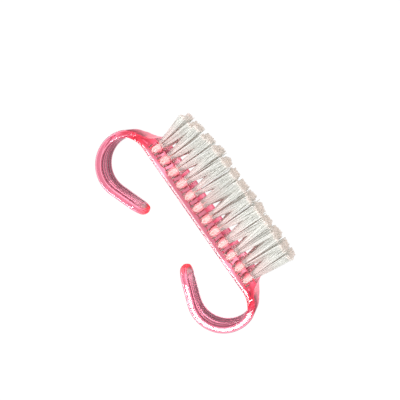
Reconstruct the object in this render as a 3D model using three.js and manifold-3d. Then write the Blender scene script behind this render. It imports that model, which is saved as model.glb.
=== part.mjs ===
// Acrylic nail brush: a one-piece clear moulding (bristle bar with a C-shaped finger hook at each
// end) and 48 nylon tufts that stand in blind holes in the bar.
// Millimetres. The brush lies on its side: +X along the bar, +Y towards the bristle tips, +Z up.
// The origin is on the side face that it rests on, at the middle of the bar's back edge.

import * as THREE from "three";
import { mergeVertices } from "three/addons/utils/BufferGeometryUtils.js";
import Module from "manifold-3d";

// Bristle bar
const BAR_WIDTH = 15;
const BAR_THICKNESS = 4.5;
const BAR_HALF_LENGTH = 24.3;
const BAR_EDGE_ROUND = 0.4;

// Tufts and the blind holes that hold them
const TUFT_COLUMNS = 12;
const TUFT_ROWS = 4;
const COLUMN_PITCH = 4.0;
const ROW_PITCH = 3.5;
const HOLE_RADIUS = 1.1;
const HOLE_DEPTH = 3.4;
const HOLE_SIDES = 10;
const ROOT_RADIUS = 0.8;
const ROOT_CLEARANCE = 0.3;
const TUFT_TIP_HEIGHT = 16.2;
const TUFT_TIP_HALF_LENGTH = 1.8;
const TUFT_TIP_HALF_WIDTH = 1.55;
const TUFT_SIDES = 10;

// Finger hooks. The curl's outer and inner arcs share one centre, and a smaller pair of arcs
// carries each hook round the shoulder into the end of the bar.
const HOOK_WIDTH = 11.2;
const HOOK_EDGE_ROUND = 0.5;
const CURL_CENTRE = new THREE.Vector2(22.4, -6.15);
const CURL_OUTER_RADIUS = 10.05;
const CURL_INNER_RADIUS = 8.1;
const SHOULDER_RADIUS = 6.65;
const SHOULDER_START = 58;
const SHOULDER_END = 15;
const THROAT_RADIUS = 6.15;
const RUN_SLOPE = 20.5;
const TIP_REACH = 9.0;
const TIP_PLAN_LENGTH = 4.2;

// The full-width block at each end of the bar steps down to the narrower hook.
const BLOCK_WIDE_END = 27.2;
const BLOCK_STEP = 28.6;
const BLOCK_END = 29.6;

// Grip grooves pressed into the finger side of each hook
const GROOVE_COUNT = 4;
const GROOVE_WIDTH = 1.3;
const GROOVE_DEPTH = 0.35;
const GROOVE_PITCH = 2.3;
const GROOVE_START = 20;
const GROOVE_END_MARGIN = 3.2;

const OUTER_ARC_STEPS = 22;
const INNER_ARC_STEPS = 18;
const SHORT_ARC_STEPS = 6;

const wasm = await Module();
wasm.setup();

const clearPink = new THREE.MeshStandardMaterial({
  name: "clear_pink",
  color: 0xf07f95,
  roughness: 0.08,
  metalness: 0,
  transparent: true,
  opacity: 0.6,
});
const clearNylon = new THREE.MeshStandardMaterial({
  name: "clear_nylon",
  color: 0xdedfd8,
  roughness: 0.4,
  metalness: 0,
});

function toSolid(geometry) {
  const bare = geometry.clone();
  bare.deleteAttribute("normal");
  bare.deleteAttribute("uv");
  const merged = mergeVertices(bare, 1e-5);
  return new wasm.Manifold(
    new wasm.Mesh({
      numProp: 3,
      vertProperties: new Float32Array(merged.attributes.position.array),
      triVerts: new Uint32Array(merged.index.array),
    })
  );
}

function toGeometry(solid) {
  const mesh = solid.getMesh();
  const geometry = new THREE.BufferGeometry();
  geometry.setAttribute("position", new THREE.BufferAttribute(mesh.vertProperties, 3));
  geometry.setIndex(new THREE.BufferAttribute(mesh.triVerts, 1));
  geometry.computeVertexNormals();
  return geometry;
}

function pointOnCircle(centre, radius, degrees) {
  const angle = THREE.MathUtils.degToRad(degrees);
  return new THREE.Vector2(centre.x + radius * Math.cos(angle), centre.y + radius * Math.sin(angle));
}

function arcPoints(centre, radius, fromDegrees, toDegrees, steps) {
  const points = [];
  for (let i = 0; i <= steps; i += 1) {
    points.push(pointOnCircle(centre, radius, THREE.MathUtils.lerp(fromDegrees, toDegrees, i / steps)));
  }
  return points;
}

// A flat outline in X and Y, raised through Z with its rims rounded over.
function raisedOutline(points, width, rimRound) {
  const solid = new THREE.ExtrudeGeometry(new THREE.Shape(points), {
    depth: width - 2 * rimRound,
    bevelEnabled: rimRound > 0,
    bevelThickness: rimRound,
    bevelSize: rimRound,
    bevelOffset: -rimRound,
    bevelSegments: 2,
  });
  solid.translate(0, 0, (BAR_WIDTH - width) / 2 + rimRound);
  return toSolid(solid);
}

// The shoulder's arc touches the curl's outer arc from inside at SHOULDER_END.
const shoulderCentre = pointOnCircle(CURL_CENTRE, CURL_OUTER_RADIUS - SHOULDER_RADIUS, SHOULDER_END);
// The throat's arc meets the bar's back face and the curl's inner arc, both without a corner.
const throatCentre = new THREE.Vector2(
  CURL_CENTRE.x + CURL_INNER_RADIUS - THROAT_RADIUS,
  -THROAT_RADIUS
);
const runDirection = new THREE.Vector2(
  -Math.cos(THREE.MathUtils.degToRad(RUN_SLOPE)),
  Math.sin(THREE.MathUtils.degToRad(RUN_SLOPE))
);

// The right-hand side of the bar and shoulder, from the bristle face down to the shoulder's arc.
function shoulderEdge() {
  const arcStart = pointOnCircle(shoulderCentre, SHOULDER_RADIUS, SHOULDER_START);
  const lineStart = new THREE.Vector2(arcStart.x - 2.7, arcStart.y + 1.69);
  const flare = new THREE.QuadraticBezierCurve(
    new THREE.Vector2(BAR_HALF_LENGTH, BAR_THICKNESS),
    new THREE.Vector2(BAR_HALF_LENGTH + 0.65, BAR_THICKNESS - 1.45),
    lineStart
  );
  return flare.getPoints(5);
}

// The outline of one hook's strip: out along the shoulder, round the curl, along the straight
// run to the tip, and back along the finger side to the throat.
function hookOutline() {
  const runAngle = -90 - RUN_SLOPE;
  const outerRunStart = pointOnCircle(CURL_CENTRE, CURL_OUTER_RADIUS, runAngle);
  const innerRunStart = pointOnCircle(CURL_CENTRE, CURL_INNER_RADIUS, runAngle);
  const thickness = CURL_OUTER_RADIUS - CURL_INNER_RADIUS;
  const middleX = (outerRunStart.x + innerRunStart.x) / 2;
  const middleY = (outerRunStart.y + innerRunStart.y) / 2;
  const runLength = (middleX - TIP_REACH - thickness / 2) / -runDirection.x;
  const tipCentre = new THREE.Vector2(
    middleX + runDirection.x * runLength,
    middleY + runDirection.y * runLength
  );
  const outerArc = arcPoints(CURL_CENTRE, CURL_OUTER_RADIUS, SHOULDER_END, runAngle, OUTER_ARC_STEPS);
  const innerArc = arcPoints(CURL_CENTRE, CURL_INNER_RADIUS, runAngle, 0, INNER_ARC_STEPS);
  return [
    new THREE.Vector2(BAR_HALF_LENGTH - 1, BAR_THICKNESS - 1),
    ...shoulderEdge().slice(2),
    ...arcPoints(shoulderCentre, SHOULDER_RADIUS, SHOULDER_START, SHOULDER_END, SHORT_ARC_STEPS).slice(0, -1),
    ...outerArc,
    ...arcPoints(tipCentre, thickness / 2, runAngle, runAngle - 180, SHORT_ARC_STEPS),
    ...innerArc,
    ...arcPoints(throatCentre, THROAT_RADIUS, 0, 90, SHORT_ARC_STEPS + 2).slice(1),
    new THREE.Vector2(BAR_HALF_LENGTH - 2, 0.5),
  ];
}

// The hook's tip is rounded across its width as well: half an ellipse in plan.
function tipPlan() {
  const half = HOOK_WIDTH / 2;
  const plan = new THREE.Shape();
  plan.moveTo(40, -half - 1);
  plan.lineTo(40, half + 1);
  plan.lineTo(TIP_REACH + TIP_PLAN_LENGTH, half + 1);
  plan.lineTo(TIP_REACH + TIP_PLAN_LENGTH, half);
  plan.absellipse(TIP_REACH + TIP_PLAN_LENGTH, 0, TIP_PLAN_LENGTH, half, Math.PI / 2, 1.5 * Math.PI, false);
  plan.lineTo(TIP_REACH + TIP_PLAN_LENGTH, -half - 1);
  const solid = new THREE.ExtrudeGeometry(plan, { depth: 60, bevelEnabled: false, curveSegments: 10 });
  solid.rotateX(Math.PI / 2);
  solid.translate(0, 30, BAR_WIDTH / 2);
  return toSolid(solid);
}

// One groove follows the throat, the curl and the straight run, just under the finger side.
function grooveOutline() {
  const runAngle = -90 - RUN_SLOPE;
  const edges = [];
  for (const depth of [-0.3, GROOVE_DEPTH]) {
    const curlRadius = CURL_INNER_RADIUS + depth;
    const runStart = pointOnCircle(CURL_CENTRE, curlRadius, runAngle);
    const runLength = (runStart.x - TIP_REACH - GROOVE_END_MARGIN) / -runDirection.x;
    const runEnd = new THREE.Vector2(
      runStart.x + runDirection.x * runLength,
      runStart.y + runDirection.y * runLength
    );
    edges.push([
      ...arcPoints(throatCentre, THROAT_RADIUS + depth, GROOVE_START, 0, 3).slice(0, -1),
      ...arcPoints(CURL_CENTRE, curlRadius, 0, runAngle, INNER_ARC_STEPS),
      runEnd,
    ]);
  }
  return [...edges[0], ...edges[1].reverse()];
}

function gripGrooves() {
  const grooves = [];
  for (let i = 0; i < GROOVE_COUNT; i += 1) {
    const across = (i - (GROOVE_COUNT - 1) / 2) * GROOVE_PITCH;
    grooves.push(raisedOutline(grooveOutline(), GROOVE_WIDTH, 0).translate([0, 0, across]));
  }
  return grooves;
}

function rightHook() {
  let hook = raisedOutline(hookOutline(), HOOK_WIDTH, HOOK_EDGE_ROUND).intersect(tipPlan());
  for (const groove of gripGrooves()) {
    hook = hook.subtract(groove);
  }
  return hook;
}

// Seen from the bristle side, the bar's block ends in a rounded step and a fillet onto each hook.
function blockPlan() {
  const wide = BAR_WIDTH / 2 + 0.1;
  const narrow = HOOK_WIDTH / 2 + 0.05;
  const corner = new THREE.Shape();
  corner.moveTo(BLOCK_WIDE_END, wide);
  corner.quadraticCurveTo(BLOCK_STEP - 0.2, wide - 0.1, BLOCK_STEP, wide - 0.9);
  corner.quadraticCurveTo(BLOCK_STEP + 0.2, narrow + 0.15, BLOCK_END + 0.2, narrow);
  const quarter = corner.getPoints(4);
  const points = [
    ...quarter,
    ...quarter.map((point) => new THREE.Vector2(point.x, -point.y)).reverse(),
    ...quarter.map((point) => new THREE.Vector2(-point.x, -point.y)),
    ...quarter.map((point) => new THREE.Vector2(-point.x, point.y)).reverse(),
  ];
  const solid = new THREE.ExtrudeGeometry(new THREE.Shape(points), { depth: 20, bevelEnabled: false });
  solid.rotateX(Math.PI / 2);
  solid.translate(0, 10, BAR_WIDTH / 2);
  return toSolid(solid);
}

// The bar and the full-width block at each end that the narrower hook grows out of.
function barBlock() {
  const shoulderEnd = Math.acos((BLOCK_END - shoulderCentre.x) / SHOULDER_RADIUS);
  const throatEnd = Math.acos((BLOCK_END - throatCentre.x) / THROAT_RADIUS);
  const right = [
    ...shoulderEdge(),
    pointOnCircle(shoulderCentre, SHOULDER_RADIUS, THREE.MathUtils.radToDeg(shoulderEnd)),
    ...arcPoints(throatCentre, THROAT_RADIUS, THREE.MathUtils.radToDeg(throatEnd), 90, 5),
  ];
  const left = right.map((point) => new THREE.Vector2(-point.x, point.y)).reverse();
  return raisedOutline([...left, ...right], BAR_WIDTH, BAR_EDGE_ROUND).intersect(blockPlan());
}

function tuftPlaces() {
  const places = [];
  for (let row = 0; row < TUFT_ROWS; row += 1) {
    for (let column = 0; column < TUFT_COLUMNS; column += 1) {
      places.push({
        name: `tuft_row${row + 1}_${String(column + 1).padStart(2, "0")}`,
        x: (column - (TUFT_COLUMNS - 1) / 2) * COLUMN_PITCH,
        z: BAR_WIDTH / 2 + (row - (TUFT_ROWS - 1) / 2) * ROW_PITCH,
      });
    }
  }
  return places;
}

function tuftHole(place) {
  const hole = new THREE.CylinderGeometry(HOLE_RADIUS, HOLE_RADIUS, HOLE_DEPTH + 1, HOLE_SIDES);
  hole.translate(place.x, BAR_THICKNESS + 1 - (HOLE_DEPTH + 1) / 2, place.z);
  return toSolid(hole);
}

function handleBody() {
  const hook = rightHook();
  let body = barBlock().add(hook).add(hook.mirror([1, 0, 0]));
  for (const place of tuftPlaces()) {
    body = body.subtract(tuftHole(place));
  }
  const mesh = new THREE.Mesh(toGeometry(body), clearPink);
  mesh.name = "handle_body";
  return mesh;
}

// A tuft is folded over its anchor at the bottom of the hole and fans out above the bar.
function tuft(place) {
  const rootBottom = BAR_THICKNESS - HOLE_DEPTH + ROOT_CLEARANCE;
  const fan = TUFT_TIP_HALF_WIDTH;
  const profile = [
    new THREE.Vector2(0, rootBottom),
    new THREE.Vector2(ROOT_RADIUS * 0.8, rootBottom),
    new THREE.Vector2(ROOT_RADIUS, rootBottom + 0.3),
    new THREE.Vector2(ROOT_RADIUS, BAR_THICKNESS + 0.4),
    new THREE.Vector2(fan, TUFT_TIP_HEIGHT - 0.9),
    new THREE.Vector2(fan * 0.8, TUFT_TIP_HEIGHT),
    new THREE.Vector2(0, TUFT_TIP_HEIGHT),
  ];
  const geometry = new THREE.LatheGeometry(profile, TUFT_SIDES);
  const position = geometry.attributes.position;
  for (let i = 0; i < position.count; i += 1) {
    const height = THREE.MathUtils.clamp(position.getY(i), BAR_THICKNESS, TUFT_TIP_HEIGHT);
    const rise = (height - BAR_THICKNESS) / (TUFT_TIP_HEIGHT - BAR_THICKNESS);
    const stretch = THREE.MathUtils.lerp(1, TUFT_TIP_HALF_LENGTH / TUFT_TIP_HALF_WIDTH, rise);
    position.setX(i, position.getX(i) * stretch);
  }
  const mesh = new THREE.Mesh(geometry, clearNylon);
  mesh.name = place.name;
  mesh.position.set(place.x, 0, place.z);
  return mesh;
}

const brush = new THREE.Group();
brush.name = "acrylic_nail_brush";
brush.add(handleBody());
for (const place of tuftPlaces()) {
  brush.add(tuft(place));
}

export default brush;
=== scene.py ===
import math
import random

import bmesh
import bpy
import numpy as np
from mathutils import Matrix, Vector


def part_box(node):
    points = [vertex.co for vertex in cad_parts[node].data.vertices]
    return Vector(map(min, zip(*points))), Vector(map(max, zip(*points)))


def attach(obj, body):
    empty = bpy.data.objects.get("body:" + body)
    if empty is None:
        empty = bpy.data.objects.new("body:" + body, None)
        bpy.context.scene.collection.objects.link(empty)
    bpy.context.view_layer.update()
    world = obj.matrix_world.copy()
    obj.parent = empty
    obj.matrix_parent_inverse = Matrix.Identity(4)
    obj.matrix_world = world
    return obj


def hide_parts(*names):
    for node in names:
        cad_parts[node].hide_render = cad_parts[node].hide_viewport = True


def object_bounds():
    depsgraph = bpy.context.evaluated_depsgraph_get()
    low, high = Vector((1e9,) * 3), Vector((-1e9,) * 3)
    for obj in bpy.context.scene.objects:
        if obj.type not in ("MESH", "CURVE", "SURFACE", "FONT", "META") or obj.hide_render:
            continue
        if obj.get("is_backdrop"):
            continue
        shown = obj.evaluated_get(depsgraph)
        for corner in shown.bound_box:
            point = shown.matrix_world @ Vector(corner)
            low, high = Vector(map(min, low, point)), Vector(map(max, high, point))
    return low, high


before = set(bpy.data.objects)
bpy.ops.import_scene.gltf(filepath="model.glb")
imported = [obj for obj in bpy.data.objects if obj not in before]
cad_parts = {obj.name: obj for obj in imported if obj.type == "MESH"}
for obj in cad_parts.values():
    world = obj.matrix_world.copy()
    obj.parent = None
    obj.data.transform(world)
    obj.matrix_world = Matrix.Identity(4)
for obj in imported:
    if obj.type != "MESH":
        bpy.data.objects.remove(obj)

cad_low, cad_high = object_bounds()


# ---------------------------------------------------------------------------------------------
# Camera: a long lens over the brush, which lies on its side. It looks down almost square to the
# bar's side, tipped a little towards the bristles, with the bar running down to the right.
MM = 0.001
camera_distance = 252.5 * MM
camera_tilt = math.radians(11.3)
camera_yaw = math.radians(-0.44)
camera_roll = math.radians(-55.13)
aim_right = 0.83 * MM
aim_up = 4.81 * MM

camera_data = bpy.data.cameras.new("camera")
camera_data.sensor_width = 36.0
camera_data.lens = 80.6
camera_data.clip_start = 0.01
camera = bpy.data.objects.new("camera", camera_data)
bpy.context.collection.objects.link(camera)
turn = (
    Matrix.Rotation(camera_roll, 3, "Z")
    @ Matrix.Rotation(camera_tilt, 3, "X")
    @ Matrix.Rotation(camera_yaw, 3, "Y")
).transposed()
bar_middle = Vector((0.0, 0.0, (cad_low.z + cad_high.z) / 2))
camera.rotation_mode = "QUATERNION"
camera.rotation_quaternion = turn.to_quaternion()
camera.location = bar_middle + turn @ Vector((aim_right, aim_up, camera_distance))
bpy.context.scene.camera = camera


# ---------------------------------------------------------------------------------------------
# Room: a plain pale table top, four soft lights and a pale surround, none of them part of the
# brush. The camera sees table and surround as plain white. What the plastic reflects and bends is
# darker, with painted patches of light, some crimson, for the light that the brush throws on the table.
table_size = 1.6
camera_white = 1.02


# Node trees are put together with two small classes. A Wire is one output socket, and sums
# written on wires add Math nodes; Tree.add makes any other node.
class Wire:
    def __init__(self, tree, socket):
        self.tree = tree
        self.socket = socket

    def maths(self, operation, *terms):
        inputs = dict(enumerate(terms))
        return self.tree.add("ShaderNodeMath", {"operation": operation}, inputs)

    def __add__(self, other):
        return self.maths("ADD", self, other)

    def __radd__(self, other):
        return self.maths("ADD", other, self)

    def __sub__(self, other):
        return self.maths("SUBTRACT", self, other)

    def __rsub__(self, other):
        return self.maths("SUBTRACT", other, self)

    def __mul__(self, other):
        return self.maths("MULTIPLY", self, other)

    def __rmul__(self, other):
        return self.maths("MULTIPLY", other, self)

    def __truediv__(self, other):
        return self.maths("DIVIDE", self, other)

    def __pow__(self, other):
        return self.maths("POWER", self, other)


class Tree:
    def __init__(self, tree):
        self.tree = tree

    def add(self, kind, settings=None, inputs=None, out=0):
        node = self.tree.nodes.new(kind)
        for name, value in (settings or {}).items():
            setattr(node, name, value)
        for name, value in (inputs or {}).items():
            if isinstance(value, Wire):
                self.tree.links.new(value.socket, node.inputs[name])
            else:
                node.inputs[name].default_value = value
        return Wire(self, node.outputs[out]) if node.outputs else node


def new_material(name):
    material = bpy.data.materials.new(name)
    material.use_nodes = True
    material.node_tree.nodes.clear()
    return material, Tree(material.node_tree)


def fade(tree, value, start, end):
    return tree.add("ShaderNodeMapRange", {"interpolation_type": "SMOOTHSTEP"}, {
        "Value": value, "From Min": start, "From Max": end})


floor_mesh = bpy.data.meshes.new("table_top")
table_gap = -0.0001
floor_mesh.from_pydata(
    [(-table_size, -table_size, table_gap), (table_size, -table_size, table_gap),
     (table_size, table_size, table_gap), (-table_size, table_size, table_gap)],
    [], [(0, 1, 2, 3)],
)
table_top = bpy.data.objects.new("table_top", floor_mesh)
bpy.context.collection.objects.link(table_top)
floor_material, floor_tree = new_material("pale_table")
floor_speckle = floor_tree.add("ShaderNodeTexNoise", {}, {"Scale": 300.0, "Detail": 2.0})
floor_colour = floor_tree.add(
    "ShaderNodeMix", {"data_type": "RGBA"},
    {0: floor_speckle, 6: (0.04, 0.04, 0.04, 1), 7: (0.07, 0.07, 0.07, 1)}, out=2,
)
floor_place = floor_tree.add("ShaderNodeTexCoord", {}, {}, out="Object")
floor_x = floor_tree.add("ShaderNodeSeparateXYZ", {}, {"Vector": floor_place}, out="X")
floor_y = Wire(floor_tree, floor_x.socket.node.outputs["Y"])
floor_x = floor_x.maths("ABSOLUTE", floor_x)
curl_middle_x = 22.4 * MM
curl_middle_y = -6.15 * MM
strip_middle = 9.1 * MM


def patch(value, start, full, fading=None, end=None):
    """A stripe across the table, from 0 at start to 1 at full, and back to 0 at end."""
    stripe = fade(floor_tree, value, start * MM, full * MM)
    if end is None:
        return stripe
    return stripe * fade(floor_tree, value, end * MM, fading * MM)


# Painted light on the table, which the camera does not see directly: a bright strip under the bar, rings
# under the hooks, a softer patch under the bristles, a crimson striped strip under the tuft roots and a
# dusky pink patch round the outside of the curls.
under_bar = patch(floor_x, 34.0, 22.0) * patch(floor_y, -2.0, 0.0, 5.0, 10.0)
under_bristles = patch(floor_y, 7.0, 12.0, 18.0, 30.0)
from_curl = ((floor_x - curl_middle_x) ** 2 + (floor_y - curl_middle_y) ** 2) ** 0.5
off_strip = from_curl - strip_middle
under_hook = patch(off_strip.maths("ABSOLUTE", off_strip), 2.2, 0.8)
pink_cast = patch(floor_x, 27.0, 24.5) * patch(floor_y, 4.0, 4.6, 8.0, 9.5)
outside_curl = patch(from_curl, 5.5, 6.5, 21.0, 25.0)
outside_curl = outside_curl * patch(floor_y, -8.0, -4.0) * patch(floor_x, 23.5, 24.5)
cast_colour = floor_tree.add(
    "ShaderNodeMix", {"data_type": "RGBA"},
    {0: pink_cast, 6: (1, 1, 1, 1), 7: (1.0, 0.10, 0.22, 1)}, out=2,
)
cast_colour = floor_tree.add(
    "ShaderNodeMix", {"data_type": "RGBA"},
    {0: outside_curl, 6: cast_colour, 7: (0.86, 0.36, 0.42, 1)}, out=2,
)
cast_stripe = floor_tree.add("ShaderNodeTexNoise", {"noise_dimensions": "1D"}, {
    "W": floor_x * 1100.0, "Scale": 1.0, "Detail": 1.0})
cast_stripe = fade(floor_tree, cast_stripe, 0.40, 0.60)
floor_light = 0.06 + outside_curl * 0.2 + pink_cast * (cast_stripe * 1.1 - 0.25)
floor_light = floor_light + under_bar * 0.72 + under_hook * 0.75 + under_bristles * 0.25
floor_soft = floor_tree.add("ShaderNodeLightPath", {}, {}, out="Is Diffuse Ray")
floor_light = floor_light + floor_soft * 0.3
floor_glow = floor_tree.add("ShaderNodeVectorMath", {"operation": "SCALE"}, {
    0: cast_colour, "Scale": floor_light})
floor_surface = floor_tree.add("ShaderNodeBsdfPrincipled", {}, {
    "Base Color": floor_colour,
    "Roughness": 0.9,
    "Specular IOR Level": 0.1,
    "Emission Color": floor_glow,
    "Emission Strength": 1.0,
})
floor_seen = floor_tree.add("ShaderNodeEmission", {}, {
    "Color": (1, 1, 1, 1), "Strength": camera_white})
floor_ray = floor_tree.add("ShaderNodeLightPath", {}, {}, out="Is Camera Ray")
floor_both = floor_tree.add("ShaderNodeMixShader", {}, {
    0: floor_ray, 1: floor_surface, 2: floor_seen})
floor_tree.add("ShaderNodeOutputMaterial", {}, {"Surface": floor_both})
floor_material.cycles.emission_sampling = "NONE"
floor_mesh.materials.append(floor_material)
table_top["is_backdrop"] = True

world = bpy.data.worlds.new("pale_room")
world.use_nodes = True
world.node_tree.nodes.clear()
sky = Tree(world.node_tree)
sky_way = sky.add("ShaderNodeTexCoord", {}, {}, out="Generated")
sky_height = sky.add("ShaderNodeSeparateXYZ", {}, {"Vector": sky_way}, out="Z")
sky_light = 0.10 + 0.30 * fade(sky, sky_height, 0.05, 0.8)
sky_ray = sky.add("ShaderNodeLightPath", {}, {}, out="Is Camera Ray")
sky_light = sky_light + sky_ray * (camera_white - sky_light)
sky_soft = sky.add("ShaderNodeLightPath", {}, {}, out="Is Diffuse Ray")
sky_light = sky_light + sky_soft * 0.13
sky_surface = sky.add("ShaderNodeBackground", {}, {
    "Color": (1, 1, 1, 1), "Strength": sky_light})
sky.add("ShaderNodeOutputWorld", {}, {"Surface": sky_surface})
world.cycles.sampling_method = "NONE"
bpy.context.scene.world = world


def soft_light(name, place, size, power):
    data = bpy.data.lights.new(name, "AREA")
    data.shape = "RECTANGLE"
    data.size, data.size_y = size
    data.energy = power
    light = bpy.data.objects.new(name, data)
    bpy.context.collection.objects.link(light)
    light.location = place
    light.rotation_mode = "QUATERNION"
    light.rotation_quaternion = (Vector(place) - bar_middle).to_track_quat("Z", "Y")
    return light


# The first light is kept out of reflections and the second off matt surfaces, so that each does
# one job: the first lights the bristles, the second draws a highlight on the hooks.
tip_softbox = soft_light("tip_softbox", (-0.20, 0.90, 0.40), (0.9, 0.7), 4.2)
tip_softbox.visible_glossy = False
hook_softbox = soft_light("hook_softbox", (0.16, -0.255, 0.75), (0.19, 0.19), 2.8)
hook_softbox.visible_diffuse = False
soft_light("side_softbox", (-0.9, -0.1, 0.18), (0.25, 0.25), 2.0)
soft_light("back_softbox", (0.05, -0.75, 0.6), (0.36, 0.45), 8.2)
bpy.context.scene.view_settings.view_transform = "Standard"
light_paths = bpy.context.scene.cycles
light_paths.max_bounces = 40
light_paths.glossy_bounces = 40
light_paths.transmission_bounces = 40
light_paths.diffuse_bounces = 8
light_paths.sample_clamp_indirect = 3.0
light_paths.denoising_input_passes = "RGB"


# ---------------------------------------------------------------------------------------------
# Handle moulding: one injection moulding in clear pink plastic. The strip of each hook grows out
# of a full-width block at the end of the bar, curls under and ends in a rounded tip.
bar_width = (cad_high.z - cad_low.z) / MM
handle_low, handle_high = (Vector(corner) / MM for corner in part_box("handle_body"))
bar_thickness = handle_high.y
bristle_face_half = 24.0
hook_width = 11.2
curl_outer_radius = 10.05
curl_inner_radius = 8.1
curl_centre = np.array((handle_high.x - curl_outer_radius, handle_low.y + curl_outer_radius))
shoulder_radius = 6.65
shoulder_start = 58
shoulder_end = 15
throat_radius = 6.15
block_wide_end = 27.2
block_step = 28.6
block_end = 29.8
run_slope = 20.5
tip_reach = 9.0
tip_plan_length = 4.2
groove_count = 4
groove_width = 1.3
groove_pitch = 2.3
groove_depth = 0.35
groove_inset = 0.35
groove_margin = 2.4
edge_round_across = 0.45
bar_back_round = 0.7
bar_front_round = 0.4
hook_inner_round = 0.4
hook_outer_round = 0.75
corner_steps = 7
side_steps = 6
finger_side_points = 61
outer_side_points = 13


def on_circle(centre, radius, degrees):
    angle = np.radians(degrees)
    return np.stack([centre[0] + radius * np.cos(angle), centre[1] + radius * np.sin(angle)], -1)


def curve_through(start, pull, end, count):
    t = np.linspace(0, 1, count)[:, None]
    return (1 - t) ** 2 * np.array(start) + 2 * t * (1 - t) * np.array(pull) + t ** 2 * np.array(end)


def evenly_along(path, fractions):
    steps = np.linalg.norm(np.diff(path, axis=0), axis=1)
    reach = np.concatenate([[0], np.cumsum(steps)]) / steps.sum()
    return np.stack([np.interp(fractions, reach, path[:, axis]) for axis in (0, 1)], -1)


def block_half_width(x):
    wide, narrow = bar_width / 2, hook_width / 2
    step = (block_step, wide - 0.9)
    rim = curve_through((block_wide_end, wide), (block_step - 0.2, wide - 0.05), step, 8)
    fillet = curve_through(step, (block_step + 0.2, narrow + 0.1), (block_end, narrow), 8)
    plan = np.concatenate([rim, fillet[1:]])
    return np.interp(x, plan[:, 0], plan[:, 1])


def groove_profile(across):
    depth = np.zeros_like(across)
    for i in range(groove_count):
        offset = np.abs(across - (i - (groove_count - 1) / 2) * groove_pitch) / (groove_width / 2)
        depth += np.clip(1 - offset, 0, 1) ** 0.5
    return depth * groove_depth


def section_shape(thickness, half_width, inner, outer, groove):
    """Points round one cross-section as (depth from the finger side, place across).

    inner and outer are the edge roundings: how far each goes in depth, and across."""
    spread = np.linspace(-1, 1, finger_side_points)
    bottom = spread * (half_width - inner[1])
    depth = groove_profile(spread * (hook_width / 2 - groove_inset)) * groove
    points = list(zip(depth, bottom))
    quarter = np.linspace(0, math.pi / 2, corner_steps + 1)[1:]
    for a in quarter:
        points.append((inner[0] * (1 - math.cos(a)), half_width - inner[1] * (1 - math.sin(a))))
    for d in np.linspace(inner[0], thickness - outer[0], side_steps + 1)[1:]:
        points.append((d, half_width))
    for a in quarter:
        across = half_width - outer[1] * (1 - math.cos(a))
        points.append((thickness - outer[0] * (1 - math.sin(a)), across))
    corner_end = len(points) - 1
    top = np.linspace(1, -1, outer_side_points)[1:-1] * (half_width - outer[1])
    points += [(thickness, z) for z in top]
    mirrored = points[corner_end:finger_side_points - 1:-1]
    outline = points + [(d, -z) for d, z in mirrored]
    return np.array(outline)


def rounded_end(share):
    """Half width of a round-ended shape, at a share of the way in from its end."""
    return math.sqrt(max(0, 1 - max(0, 1 - share) ** 2))


def handle_stations():
    """Pairs of finger-side and outer points from the bar's middle to the right-hand tip."""
    stations = []
    for x in (0, 8, 16, 22, 23.4):
        stations.append(((x, 0), (x, bar_thickness), None, 0.0))
    shoulder_centre = on_circle(curl_centre, curl_outer_radius - shoulder_radius, shoulder_end)
    throat_centre = np.array((curl_centre[0] + curl_inner_radius - throat_radius, -throat_radius))
    arc_start = on_circle(shoulder_centre, shoulder_radius, shoulder_start)
    flare_start = (24.5, 4.1)
    flare_end = arc_start + np.array((-2.7, 1.69))
    outer_path = np.concatenate([
        curve_through((bristle_face_half, bar_thickness), (24.36, bar_thickness), flare_start, 5),
        curve_through(flare_start, (25.05, 2.95), flare_end, 12)[1:],
        on_circle(shoulder_centre, shoulder_radius, np.linspace(shoulder_start, shoulder_end, 16)),
        on_circle(curl_centre, curl_outer_radius, np.linspace(shoulder_end, 0, 6))[1:],
    ])
    share = np.linspace(0, 1, 61)
    outer = evenly_along(outer_path, share)
    inner = on_circle(throat_centre, throat_radius, 90 - 90 * share)
    inner[:, 0] += (bristle_face_half - throat_centre[0]) * (1 - share) ** 4
    for t, i, o in zip(share, inner, outer):
        stations.append((i, o, None, float(np.clip((90 * t - 48) / 5, 0, 1))))
    turns = np.linspace(0, -90 - run_slope, 46)[1:]
    inner_curl = on_circle(curl_centre, curl_inner_radius, turns)
    outer_curl = on_circle(curl_centre, curl_outer_radius, turns)
    for i, o in zip(inner_curl, outer_curl):
        stations.append((i, o, hook_width / 2, 1.0))
    slope = math.radians(run_slope)
    run = np.array((-math.cos(slope), math.sin(slope)))
    inner_start, outer_start = stations[-1][0], stations[-1][1]
    middle = (inner_start + outer_start) / 2
    thickness = curl_outer_radius - curl_inner_radius
    length = (middle[0] - tip_reach) / -run[0]
    to_end = list(np.linspace(length, tip_plan_length, 8)[1:])
    to_end += list(tip_plan_length * (1 - np.sin(np.linspace(0, math.pi / 2, 15)[1:])))
    for e in to_end:
        half = hook_width / 2 * rounded_end(e / tip_plan_length)
        thin = rounded_end(e / (thickness / 2))
        centre = middle + run * (length - e)
        arm = (outer_start - inner_start) / 2 * thin
        grooved = float(np.clip(e - groove_margin, 0, 1))
        stations.append((centre - arm, centre + arm, half, grooved))
    return stations


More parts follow.
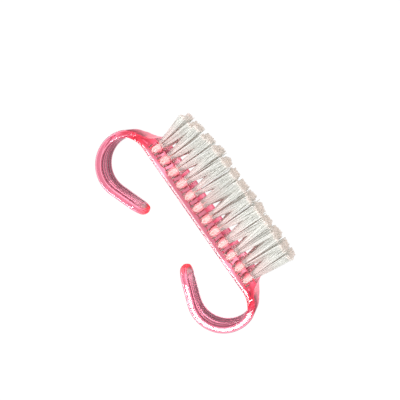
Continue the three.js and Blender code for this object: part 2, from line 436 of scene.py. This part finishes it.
def ring(station, side):
    inner, outer, half_width, groove = station
    inner, outer = np.array(inner, float), np.array(outer, float)
    thickness = np.linalg.norm(outer - inner)
    hook = half_width is not None
    if hook:
        across_round = min(edge_round_across, half_width * 0.4)
        inner_round = (min(hook_inner_round, thickness * 0.35), across_round)
        outer_round = (min(hook_outer_round, thickness * 0.5), across_round)
    else:
        inner_depth = bar_back_round + (hook_inner_round - bar_back_round) * groove
        outer_depth = bar_front_round + (hook_outer_round - bar_front_round) * groove
        inner_round = (inner_depth, edge_round_across)
        outer_round = (outer_depth, edge_round_across)
        half_width = bar_width / 2
    outline = section_shape(thickness, half_width, inner_round, outer_round, groove)
    along = outline[:, :1] / max(thickness, 1e-9)
    plane = inner + (outer - inner) * along
    across = outline[:, 1]
    if not hook:
        across = across * block_half_width(plane[:, 0]) / (bar_width / 2)
    return np.stack([plane[:, 0] * side, plane[:, 1], across + bar_width / 2], -1) * MM


right = [ring(s, 1) for s in handle_stations()]
left = [ring(s, -1) for s in handle_stations()[1:]]
rings = right[::-1] + left
count = len(rings[0])
faces = []
for r in range(len(rings) - 1):
    for p in range(count):
        q = (p + 1) % count
        faces.append((r * count + p, r * count + q, (r + 1) * count + q, (r + 1) * count + p))
faces.append(tuple(range(count)))
faces.append(tuple((len(rings) - 1) * count + p for p in reversed(range(count))))
handle_mesh = bpy.data.meshes.new("handle_moulding")
handle_mesh.from_pydata(np.concatenate(rings).tolist(), [], faces)
work = bmesh.new()
work.from_mesh(handle_mesh)
bmesh.ops.remove_doubles(work, verts=work.verts, dist=0.002 * MM)
bmesh.ops.dissolve_degenerate(work, dist=0.0005 * MM, edges=work.edges)
bmesh.ops.recalc_face_normals(work, faces=work.faces)
work.to_mesh(handle_mesh)
work.free()
handle = bpy.data.objects.new("handle_moulding", handle_mesh)
bpy.context.collection.objects.link(handle)

# Drilled holes: one flat-bottomed hole under every tuft, 12 along and 4 across.
tuft_names = sorted(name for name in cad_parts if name.startswith("tuft_"))
tuft_boxes = {name: [Vector(corner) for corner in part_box(name)] for name in tuft_names}
tuft_middles = {name: (low + high) / 2 for name, (low, high) in tuft_boxes.items()}
hole_radius = 1.2
hole_depth = 3.3


def drill_points():
    mesh = bpy.data.meshes.new("hole_places")
    y = bar_thickness * MM
    mesh.from_pydata([(m.x, y, m.z) for m in tuft_middles.values()], [], [])
    places = bpy.data.objects.new("hole_places", mesh)
    bpy.context.collection.objects.link(places)
    return places


places = drill_points()
drill_group = bpy.data.node_groups.new("drilled_holes", "GeometryNodeTree")
drill_group.interface.new_socket("Geometry", in_out="INPUT", socket_type="NodeSocketGeometry")
for label in ("Hole Radius", "Hole Depth"):
    drill_group.interface.new_socket(label, in_out="INPUT", socket_type="NodeSocketFloat")
drill_group.interface.new_socket("Places", in_out="INPUT", socket_type="NodeSocketObject")
drill_group.interface.new_socket("Geometry", in_out="OUTPUT", socket_type="NodeSocketGeometry")
pink_plastic, pink = new_material("clear_pink_plastic")
drill = Tree(drill_group)
drill_in = drill_group.nodes.new("NodeGroupInput")
drill_radius = Wire(drill, drill_in.outputs["Hole Radius"])
drill_depth = Wire(drill, drill_in.outputs["Hole Depth"])
spots = drill.add("GeometryNodeObjectInfo", {}, {
    "Object": Wire(drill, drill_in.outputs["Places"])}, out="Geometry")
bit = drill.add("GeometryNodeMeshCylinder", {}, {
    "Vertices": 28, "Radius": drill_radius, "Depth": drill_depth * 2})
bits = drill.add("GeometryNodeInstanceOnPoints", {}, {
    "Points": spots, "Instance": bit, "Rotation": (math.pi / 2, 0, 0)})
bits = drill.add("GeometryNodeRealizeInstances", {}, {0: bits})
drilled = drill.add("GeometryNodeMeshBoolean", {"operation": "DIFFERENCE", "solver": "EXACT"}, {
    "Mesh 1": Wire(drill, drill_in.outputs["Geometry"]), "Mesh 2": bits})
drilled = drill.add("GeometryNodeRealizeInstances", {}, {0: drilled})
drilled = drill.add("GeometryNodeSetMaterial", {}, {0: drilled, "Material": pink_plastic})
drill_out = drill_group.nodes.new("NodeGroupOutput")
drill_group.links.new(drilled.socket, drill_out.inputs[0])


def socket_ids(group):
    return {s.name: s.identifier for s in group.interface.items_tree if s.in_out == "INPUT"}


def plain_mesh(owner, name):
    """The evaluated modifiers of an object as a mesh of their own."""
    evaluated = owner.evaluated_get(bpy.context.evaluated_depsgraph_get())
    mesh = bpy.data.meshes.new_from_object(evaluated)
    mesh.name = name
    return mesh


drilling = handle.modifiers.new("drilled_holes", "NODES")
drilling.node_group = drill_group
ids = socket_ids(drill_group)
drilling[ids["Hole Radius"]] = hole_radius * MM
drilling[ids["Hole Depth"]] = hole_depth * MM
drilling[ids["Places"]] = places
drilled_mesh = plain_mesh(handle, "handle_moulding")
handle.modifiers.clear()
handle.data = drilled_mesh
bpy.data.objects.remove(places)
for polygon in drilled_mesh.polygons:
    polygon.use_smooth = True
drilled_mesh.set_sharp_from_angle(angle=math.radians(32))
weighting = handle.modifiers.new("even_shading", "WEIGHTED_NORMAL")
weighting.keep_sharp = True

# Clear pink plastic: light is coloured by how far it travels inside, so thin walls are pale pink
# and the long way through a hook or block is deep red. A faint painted glow in the tips, on the
# finger side and in the holes stands for light that runs along inside, and pale lines along the
# grooves, the outer rim and the bar's back edge are painted highlights.
where = pink.add("ShaderNodeTexCoord", {}, {}, out="Object")
handling_and_glow_mottle = pink.add("ShaderNodeTexNoise", {}, {"Vector": where, "Scale": 900.0, "Detail": 4.0})
flow = pink.add("ShaderNodeTexNoise", {}, {"Vector": where, "Scale": 120.0, "Detail": 3.0})
place_x = pink.add("ShaderNodeSeparateXYZ", {}, {"Vector": where}, out="X")
place_y = Wire(pink, place_x.socket.node.outputs["Y"])
place_z = Wire(pink, place_x.socket.node.outputs["Z"])


def inside(value, low, high):
    return value.maths("GREATER_THAN", value, low * MM) * value.maths("LESS_THAN", value, high * MM)


def pink_fade(value, start, end):
    return fade(pink, value, start * MM, end * MM)


def thin_line(value, middle, outside, core):
    """A line where value is near middle: full within core and gone past outside."""
    return pink_fade(value.maths("ABSOLUTE", value - middle * MM), outside, core)


def pink_mix(share, plain, other):
    return pink.add("ShaderNodeMix", {"data_type": "RGBA"}, {0: share, 6: plain, 7: other}, out=2)


drilled_wall = inside(place_x, -23.5, 23.5) * inside(place_y, 0.4, 4.3) * inside(place_z, 0.6, 14.4)
gloss = 0.015 + handling_and_glow_mottle * 0.01 + drilled_wall * 0.3
end_x = place_x.maths("ABSOLUTE", place_x)
below = pink_fade(place_y, -0.5, -2.0)
hook_share = below.maths("MAXIMUM", pink_fade(end_x, 23.8, 26.2), below)
tip_share = pink_fade(end_x, 11.6, 9.2) * below
root_share = pink_fade(end_x, 24.0, 26.2) * pink_fade(place_y, -5.5, -2.5)

# Depth through the strip of a hook, from the middle of its curl, and along the straight run to
# its tip. The grooves and the rim lie at set depths.
from_centre_x = end_x - curl_middle_x
from_centre_y = place_y - curl_middle_y
round_curl = (from_centre_x ** 2 + from_centre_y * from_centre_y) ** 0.5
run_rise = 0.350
run_reach = 0.937
past_curl = from_centre_y * run_rise - from_centre_x * run_reach
under_run = from_centre_x * -run_rise - from_centre_y * run_reach
on_run = past_curl.maths("GREATER_THAN", past_curl, 0.0)
on_run = on_run * under_run.maths("GREATER_THAN", under_run, 0.0)
strip_depth = round_curl + on_run * (under_run - round_curl)
# Painted highlights: thin pale lines at the depth of the groove bottoms and of the outer rim on each hook.
groove_highlight = thin_line(strip_depth, 8.43, 0.16, 0.06) * below
rim_highlight = thin_line(strip_depth, 9.72, 0.20, 0.08) * below
painted_line_highlight = groove_highlight.maths("MAXIMUM", groove_highlight, rim_highlight)
# Painted glow on the finger side of each hook, away from the tip.
finger_side = pink_fade(strip_depth, 8.36, 8.20) * below * (1 - tip_share)
# Painted highlight: a thin near-white line along the rounded back edge of the bar, where it would catch the
# back light.
back_edge_highlight = thin_line(place_y, 0.62, 0.22, 0.08)
back_edge_highlight = back_edge_highlight * pink_fade(end_x, 25.2, 24.6) * pink_fade(place_z, 14.0, 14.4)
# Painted glow on the walls of the drilled holes, mottled by the same noise that varies the roughness.
wall_glow = drilled_wall * (0.4 + 0.9 * fade(pink, handling_and_glow_mottle, 0.35, 0.65))

# Painted colour: the hooks are tinted pinker, the tips deep red and the hook roots redder, standing in for
# the deeper colour of light that runs far inside them. The paler tint along the lines belongs to the painted
# highlights.
tint = pink_mix(hook_share, (1.0, 0.98, 0.98, 1), (1.0, 0.66, 0.76, 1))
tint = pink_mix(tip_share, tint, (1.0, 0.36, 0.32, 1))
tint = pink_mix(root_share, tint, (0.98, 0.50, 0.56, 1))
tint = pink_mix(painted_line_highlight * 0.8, tint, (1.0, 0.92, 0.94, 1))
# Painted glow, added as emission: deep red in the tips, pale along the highlight lines, pink in the drilled
# holes, near white along the back edge, and dark red on the finger side of the hooks.
edge_glow = pink_mix(tip_share, (0.0, 0.0, 0.0, 1), (0.42, 0.01, 0.006, 1))
edge_glow = pink_mix(painted_line_highlight * (1 - tip_share), edge_glow, (0.30, 0.20, 0.24, 1))
edge_glow = pink_mix(wall_glow, edge_glow, (0.17, 0.035, 0.05, 1))
edge_glow = pink_mix(back_edge_highlight, edge_glow, (0.55, 0.50, 0.47, 1))
edge_glow = pink_mix(finger_side * (1 - painted_line_highlight), edge_glow, (0.085, 0.009, 0.022, 1))
ripple = pink.add("ShaderNodeBump", {}, {"Height": flow, "Strength": 0.02, "Distance": 0.0002})
pink_surface = pink.add("ShaderNodeBsdfPrincipled", {}, {
    "Emission Color": edge_glow,
    "Emission Strength": 1.0,
    "Base Color": tint,
    "Roughness": gloss,
    "IOR": 1.49,
    "Transmission Weight": 1.0,
    "Normal": ripple,
})
pink_depth = pink.add("ShaderNodeVolumeAbsorption", {}, {
    "Color": (0.97, 0.08, 0.32, 1), "Density": 90.0})
pink.add("ShaderNodeOutputMaterial", {}, {"Surface": pink_surface, "Volume": pink_depth})
drilled_mesh.materials.clear()
drilled_mesh.materials.append(pink_plastic)
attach(handle, "root")
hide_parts("handle_body")


# ---------------------------------------------------------------------------------------------
# Staple anchors: a short strip of flat wire under each tuft. It lies across the hole, holds the
# fold of the bristles down and its ends bite into the wall of the hole.
anchor_length = 3.1
anchor_height = 1.1
anchor_thickness = 0.28
anchor_group = bpy.data.node_groups.new("staple_anchors", "GeometryNodeTree")
anchor_group.interface.new_socket("Geometry", in_out="INPUT", socket_type="NodeSocketGeometry")
for label in ("Length", "Height", "Thickness"):
    anchor_group.interface.new_socket(label, in_out="INPUT", socket_type="NodeSocketFloat")
anchor_group.interface.new_socket("Seed", in_out="INPUT", socket_type="NodeSocketInt")
anchor_group.interface.new_socket("Geometry", in_out="OUTPUT", socket_type="NodeSocketGeometry")
anchor_tree = Tree(anchor_group)
anchor_in = anchor_group.nodes.new("NodeGroupInput")
size = anchor_tree.add("ShaderNodeCombineXYZ", {}, {
    "X": Wire(anchor_tree, anchor_in.outputs["Length"]),
    "Y": Wire(anchor_tree, anchor_in.outputs["Height"]),
    "Z": Wire(anchor_tree, anchor_in.outputs["Thickness"]),
})
strip = anchor_tree.add("GeometryNodeMeshCube", {}, {"Size": size})
lean = anchor_tree.add("FunctionNodeRandomValue", {"data_type": "FLOAT_VECTOR"}, {
    "Min": (-0.05, -0.2, -0.06),
    "Max": (0.05, 0.2, 0.06),
    "Seed": Wire(anchor_tree, anchor_in.outputs["Seed"]),
})
strips = anchor_tree.add("GeometryNodeInstanceOnPoints", {}, {
    "Points": Wire(anchor_tree, anchor_in.outputs["Geometry"]), "Instance": strip, "Rotation": lean})
strips = anchor_tree.add("GeometryNodeRealizeInstances", {}, {0: strips})

anchor_metal, metal = new_material("anchor_wire")
metal_where = metal.add("ShaderNodeTexCoord", {}, {}, out="Object")
metal_grain = metal.add("ShaderNodeTexNoise", {}, {"Vector": metal_where, "Scale": 3000.0, "Detail": 3.0})
metal_surface = metal.add("ShaderNodeBsdfPrincipled", {}, {
    "Base Color": (0.42, 0.38, 0.33, 1), "Metallic": 1.0, "Roughness": 0.3 + metal_grain * 0.25})
metal.add("ShaderNodeOutputMaterial", {}, {"Surface": metal_surface})
strips = anchor_tree.add("GeometryNodeSetMaterial", {}, {0: strips, "Material": anchor_metal})
anchor_out = anchor_group.nodes.new("NodeGroupOutput")
anchor_group.links.new(strips.socket, anchor_out.inputs[0])

anchor_gap = 0.15
anchor_y = (bar_thickness - hole_depth + anchor_gap + anchor_height / 2) * MM
anchor_places = bpy.data.meshes.new("anchor_places")
anchor_places.from_pydata([(m.x, anchor_y, m.z) for m in tuft_middles.values()], [], [])
anchors = bpy.data.objects.new("staple_anchors", anchor_places)
bpy.context.collection.objects.link(anchors)
stapling = anchors.modifiers.new("staple_anchors", "NODES")
stapling.node_group = anchor_group
ids = socket_ids(anchor_group)
stapling[ids["Length"]] = anchor_length * MM
stapling[ids["Height"]] = anchor_height * MM
stapling[ids["Thickness"]] = anchor_thickness * MM
stapling[ids["Seed"]] = 5
anchors.data = plain_mesh(anchors, "staple_anchors")
anchors.modifiers.clear()
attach(anchors, "root")


# ---------------------------------------------------------------------------------------------
# Tufts: bundles of clear nylon filament, folded in half over the anchor. The filaments stand
# close together in the hole and fan out along the bar above it, with their tips trimmed almost
# level. A faint painted glow all along them lifts their shade; a stronger painted glow at the roots
# and paler, glowing cut ends stand for light carried along the filaments, and a pink tint near the
# bar is a painted reflection of it.
nylon, strand = new_material("nylon_filament")
strand_where = strand.add("ShaderNodeTexCoord", {}, {}, out="Object")
strand_tone = strand.add("ShaderNodeAttribute", {"attribute_name": "tone"}, {}, out="Fac")
strand_y = strand.add("ShaderNodeSeparateXYZ", {}, {"Vector": strand_where}, out="Y")
strand_colour = strand.add(
    "ShaderNodeMix", {"data_type": "RGBA"},
    {0: strand_tone, 6: (0.70, 0.71, 0.67, 1), 7: (0.94, 0.94, 0.90, 1)}, out=2,
)
# Painted pink reflection of the bar: the filaments are tinted pinkish-beige up to about 13 mm, strongest
# below 5.8 mm.
painted_pink_bounce = fade(strand, strand_y, 13.0 * MM, 5.8 * MM)
strand_colour = strand.add(
    "ShaderNodeMix", {"data_type": "RGBA"},
    {0: painted_pink_bounce * 0.85, 6: strand_colour, 7: (0.86, 0.66, 0.64, 1)}, out=2,
)
strand_along = strand.add("ShaderNodeAttribute", {"attribute_name": "along"}, {}, out="Fac")
# Painted light on the cut ends: the last part of each filament is paler and glows a little.
cut_end = fade(strand, strand_along, 0.955, 0.995)
strand_colour = strand.add(
    "ShaderNodeMix", {"data_type": "RGBA"},
    {0: cut_end * 0.6, 6: strand_colour, 7: (0.95, 0.87, 0.83, 1)}, out=2,
)
strand_grain = strand.add("ShaderNodeTexNoise", {}, {"Vector": strand_where, "Scale": 1500.0, "Detail": 2.0})
# Painted glow: faint all along every filament to lift its shade, stronger at the root in the hole.
root_glow = strand.add("ShaderNodeMix", {"data_type": "RGBA"}, {
    0: fade(strand, strand_y, 4.8 * MM, 3.6 * MM),
    6: (0.045, 0.041, 0.038, 1),
    7: (0.46, 0.36, 0.32, 1)}, out=2)
strand_glow = strand.add("ShaderNodeMix", {"data_type": "RGBA"}, {
    0: cut_end, 6: root_glow, 7: (0.15, 0.12, 0.105, 1)}, out=2)
strand_surface = strand.add("ShaderNodeBsdfPrincipled", {}, {
    "Emission Color": strand_glow,
    "Emission Strength": 1.0,
    "Base Color": strand_colour,
    "Roughness": 0.22 + strand_grain * 0.15,
    "IOR": 1.53,
    "Transmission Weight": 0.05,
})
strand.add("ShaderNodeOutputMaterial", {}, {"Surface": strand_surface})

tuft_group = bpy.data.node_groups.new("bristle_tuft", "GeometryNodeTree")
tuft_group.interface.new_socket("Geometry", in_out="INPUT", socket_type="NodeSocketGeometry")
for label in ("Strands", "Seed"):
    tuft_group.interface.new_socket(label, in_out="INPUT", socket_type="NodeSocketInt")
for label in ("Root Radius", "Fan Along", "Fan Across", "Fold Height", "Mouth Height", "Tip Height",
              "Filament Radius", "Lean Along", "Lean Across", "Stray"):
    tuft_group.interface.new_socket(label, in_out="INPUT", socket_type="NodeSocketFloat")
tuft_group.interface.new_socket("Middle", in_out="INPUT", socket_type="NodeSocketVector")
tuft_group.interface.new_socket("Geometry", in_out="OUTPUT", socket_type="NodeSocketGeometry")
tuft = Tree(tuft_group)
tuft_in = tuft_group.nodes.new("NodeGroupInput")


def given(label):
    return Wire(tuft, tuft_in.outputs[label])


def chance(offset, low=0.0, high=1.0):
    return tuft.add("FunctionNodeRandomValue", {"data_type": "FLOAT"}, {
        "Min": low, "Max": high, "Seed": given("Seed") * 31 + offset}, out=1)


def keep(geometry, name, value):
    return tuft.add("GeometryNodeStoreNamedAttribute", {"data_type": "FLOAT", "domain": "POINT"}, {
        "Geometry": geometry, "Name": name, "Value": value})


def kept(name):
    return tuft.add("GeometryNodeInputNamedAttribute", {"data_type": "FLOAT"}, {"Name": name})


points = tuft.add("GeometryNodePoints", {}, {"Count": given("Strands")})
spread = chance(1, -0.95, 0.95)
chord = (1 - spread * spread) ** 0.5
points = keep(points, "root_z", spread)
points = keep(points, "root_a", -1 * chord * chance(2, 0.12, 1.0) ** 0.6)
points = keep(points, "root_b", chord * chance(3, 0.12, 1.0) ** 0.6)
for k, name in enumerate(("stray_ax", "stray_az", "stray_bx", "stray_bz")):
    wild = (chance(20 + k) ** 8) * 3 + 1
    points = keep(points, name, chance(4 + k, -1.0, 1.0) * wild * given("Stray"))
points = keep(points, "cut_a", chance(10, -1.0, 1.0))
points = keep(points, "cut_b", chance(11, -1.0, 1.0))
points = keep(points, "bow", chance(12, -1.0, 1.0))
points = keep(points, "tone", chance(13))
line = tuft.add("GeometryNodeCurvePrimitiveLine", {}, {"Start": (0, 0, 0), "End": (0, 0, 1)})
line = tuft.add("GeometryNodeResampleCurve", {}, {"Curve": line, "Count": 19})
curves = tuft.add("GeometryNodeInstanceOnPoints", {}, {"Points": points, "Instance": line})
curves = tuft.add("GeometryNodeRealizeInstances", {}, {0: curves})
s = tuft.add("GeometryNodeSplineParameter") * 2 - 1
second = s.maths("GREATER_THAN", s, 0.0)
rise = s.maths("ABSOLUTE", s) ** 1.5


def leg(first_name, second_name):
    a, b = kept(first_name), kept(second_name)
    return a + (b - a) * second


cut_unevenness = 0.32 * MM
most_bow = 0.25 * MM
filament_length = 12.0 * MM
radius = given("Root Radius")
root_x = leg("root_a", "root_b") * radius
root_z = kept("root_z") * radius
fold = rise.maths("MINIMUM", rise * 27, 1.0)
tip_x = leg("root_a", "root_b") * given("Fan Along") + leg("stray_ax", "stray_bx") + given("Lean Along")
tip_z = kept("root_z") * given("Fan Across") + leg("stray_az", "stray_bz") + given("Lean Across")
swing = (tip_x * tip_x + tip_z * tip_z) / (2 * filament_length)
tip_y = given("Tip Height") - swing + leg("cut_a", "cut_b") * cut_unevenness
height = given("Fold Height") + (tip_y - given("Fold Height")) * rise
clear = (height - given("Mouth Height")) / (tip_y - given("Mouth Height"))
clear = clear.maths("MAXIMUM", clear, 0.0)
flare = clear ** 1.12
bow = kept("bow") * most_bow * (clear * 3.14159).maths("SINE", clear * 3.14159)
x = root_x * fold + (tip_x - root_x) * flare + bow
z = root_z + (tip_z - root_z) * flare + bow * 0.6
point = tuft.add("ShaderNodeCombineXYZ", {}, {"X": x, "Y": height, "Z": z})
point = tuft.add("ShaderNodeVectorMath", {"operation": "ADD"}, {0: point, 1: given("Middle")})
curves = keep(curves, "along", rise)
curves = tuft.add("GeometryNodeSetPosition", {}, {"Geometry": curves, "Position": point})
ring_profile = tuft.add("GeometryNodeCurvePrimitiveCircle", {}, {
    "Resolution": 5, "Radius": given("Filament Radius")})
strands = tuft.add("GeometryNodeCurveToMesh", {}, {
    "Curve": curves, "Profile Curve": ring_profile, "Fill Caps": True})
strands = tuft.add("GeometryNodeSetShadeSmooth", {}, {"Geometry": strands})
strands = tuft.add("GeometryNodeRealizeInstances", {}, {0: strands})
strands = tuft.add("GeometryNodeSetMaterial", {}, {0: strands, "Material": nylon})
tuft_out = tuft_group.nodes.new("NodeGroupOutput")
tuft_group.links.new(strands.socket, tuft_out.inputs[0])

draw = random.Random(11)
trim_start = -15.0
trim_run = 8.0
trim_drop = 2.2
fold_gap = 0.35
near_row = 11.0
column_leans = (-1.15, -0.5, -0.15, 0.1, 0.25, -0.1, 0.2, -0.45, 0.45, -0.5, 0.5, -0.1)
tuft_ids = socket_ids(tuft_group)
fold_height = (bar_thickness - hole_depth + fold_gap) * MM
for number, name in enumerate(tuft_names):
    low, high = tuft_boxes[name]
    middle = tuft_middles[name]
    bristles = bpy.data.objects.new("bristles_" + name[5:], bpy.data.meshes.new("bristles"))
    bpy.context.collection.objects.link(bristles)
    growing = bristles.modifiers.new("bristle_tuft", "NODES")
    growing.node_group = tuft_group
    column = int(name[-2:]) - 1
    near = middle.z / MM > near_row
    wider = 0.0 if near or column in (0, 11) else 1.1
    end_trim = max(0.0, (trim_start - middle.x / MM) / trim_run) * trim_drop
    values = {
        "Strands": 50 if near else 66,
        "Seed": number + 3,
        "Root Radius": 1.02 * MM,
        "Fan Along": (draw.uniform(2.3, 2.8) + wider) * MM,
        "Fan Across": draw.uniform(1.45, 1.75) * MM,
        "Fold Height": fold_height,
        "Mouth Height": bar_thickness * MM,
        "Tip Height": high.y + (draw.uniform(-0.5, 0.25) - end_trim) * MM,
        "Filament Radius": 0.11 * MM,
        "Lean Along": (column_leans[column] + draw.uniform(-0.25, 0.25)) * MM,
        "Lean Across": draw.uniform(-0.2, 0.2) * MM,
        "Stray": 0.16 * MM,
        "Middle": (middle.x, 0.0, middle.z),
    }
    for label, value in values.items():
        growing[tuft_ids[label]] = value
    bristles.data = plain_mesh(bristles, bristles.name)
    bristles.modifiers.clear()
    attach(bristles, "root")
    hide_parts(name)

low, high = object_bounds()
